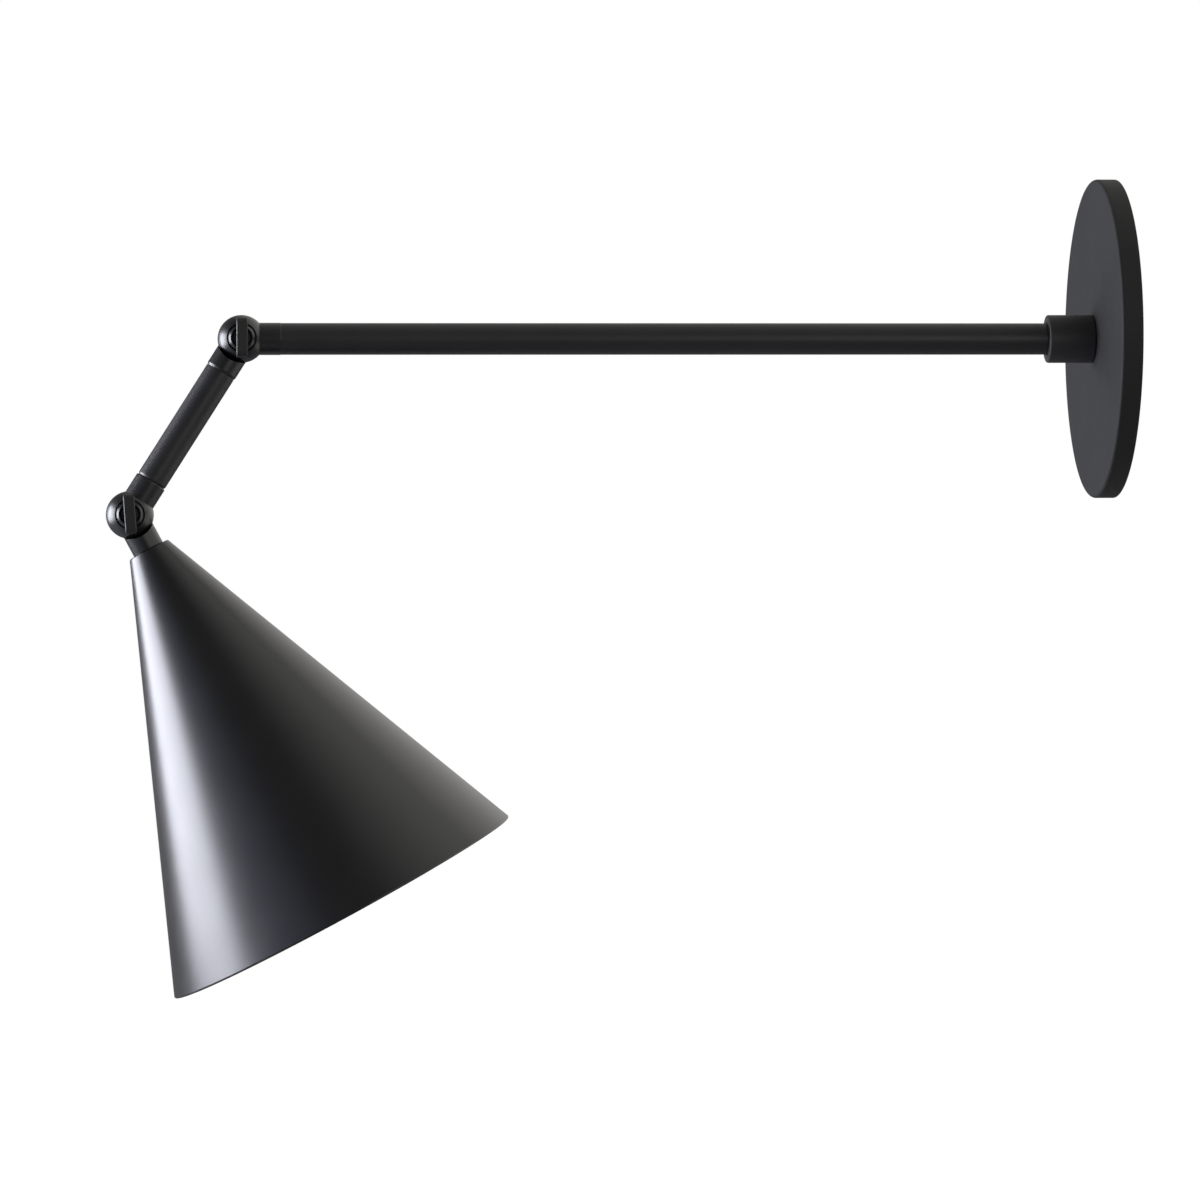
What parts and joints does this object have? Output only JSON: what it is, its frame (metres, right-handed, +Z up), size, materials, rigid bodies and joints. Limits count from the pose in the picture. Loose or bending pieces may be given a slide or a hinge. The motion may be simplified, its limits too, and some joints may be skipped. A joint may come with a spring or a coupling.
{
  "type": "articulating wall lamp",
  "caption": "Articulating wall lamp: round canopy, fixed straight arm, short link between two thumb-key friction knuckles, and a tapered cone shade.",
  "frame": {"origin": "centre of the canopy and mounting bar on the wall plane", "axes": "+Y into the wall, +Z up, +X to the side that the thumb keys face; the arm runs along -Y"},
  "size_m": [0.152, 0.4073, 0.3277],
  "materials": {
    "canopy_paint": "matte charcoal-black powder coat on a spun steel pan",
    "tube_paint": "matte black powder coat on drawn steel tube",
    "knuckle_paint": "satin black powder coat on turned metal",
    "shade_paint": "satin black paint on a spun steel cone",
    "zinc_plate": "bright zinc-plated steel",
    "spring_steel": "oiled spring steel",
    "earth_green": "green-dyed plated steel",
    "red_fibre": "vulcanised fibre sheet",
    "holder_paint": "semi-matte black painted metal cup",
    "phenolic": "moulded phenolic, dull black",
    "shell_brass": "drawn brass",
    "tip_insulator": "dark vitreous insulator with a soldered tip",
    "bulb_aluminium": "rolled aluminium screw cap",
    "frosted_glass": "frosted white glass",
    "lead_black": "black insulated lead",
    "lead_white": "white insulated lead"
  },
  "bodies": {
    "wall_mount": {"canopy": "canopy_paint", "mounting_bar": "zinc_plate", "bar_lock_washer": "zinc_plate", "bar_nut": "zinc_plate", "ground_screw": "earth_green", "wall_pipe": "zinc_plate", "collar": "knuckle_paint", "arm_tube": "tube_paint", "arm_elbow_pipe": "zinc_plate", "elbow_arm_half": "knuckle_paint", "elbow_wave_washer": "spring_steel", "arm_lead_black": "lead_black", "arm_lead_white": "lead_white"},
    "elbow_key": {"elbow_key": "knuckle_paint"},
    "link": {"elbow_link_half": "knuckle_paint", "elbow_friction_disc": "red_fibre", "elbow_key_nut": "zinc_plate", "link_upper_pipe": "zinc_plate", "link_tube": "tube_paint", "link_lower_pipe": "zinc_plate", "head_link_half": "knuckle_paint", "head_wave_washer": "spring_steel", "link_lead_black": "lead_black", "link_lead_white": "lead_white"},
    "head_key": {"head_key": "knuckle_paint"},
    "head": {"head_shade_half": "knuckle_paint", "head_friction_disc": "red_fibre", "head_key_nut": "zinc_plate", "shade_pipe": "zinc_plate", "shade": "shade_paint", "shade_washer": "zinc_plate", "shade_nut": "zinc_plate", "holder_cap": "holder_paint", "holder_body": "phenolic", "screw_shell": "shell_brass", "holder_contact": "shell_brass", "bulb_contact": "tip_insulator", "bulb_cap": "bulb_aluminium", "bulb_globe": "frosted_glass", "shade_lead_black": "lead_black", "shade_lead_white": "lead_white"}
  },
  "joints": [
    {"name": "elbow_tilt", "type": "hinge", "parent": "wall_mount", "child": "link", "pos_m": [0, -0.353, 0], "axis": [1, 0, 0], "range_deg": [-147.5, 32.5]},
    {"name": "head_tilt", "type": "hinge", "parent": "link", "child": "head", "pos_m": [0, -0.39776, -0.07025], "axis": [1, 0, 0], "range_deg": [-145.6, 24.4]},
    {"name": "elbow_key_turn", "type": "hinge", "parent": "wall_mount", "child": "elbow_key", "pos_m": [0, -0.353, 0], "axis": [1, 0, 0], "range_deg": [-180, 180]},
    {"name": "head_key_turn", "type": "hinge", "parent": "link", "child": "head_key", "pos_m": [0, -0.39776, -0.07025], "axis": [1, 0, 0], "range_deg": [-180, 180]}
  ]
}
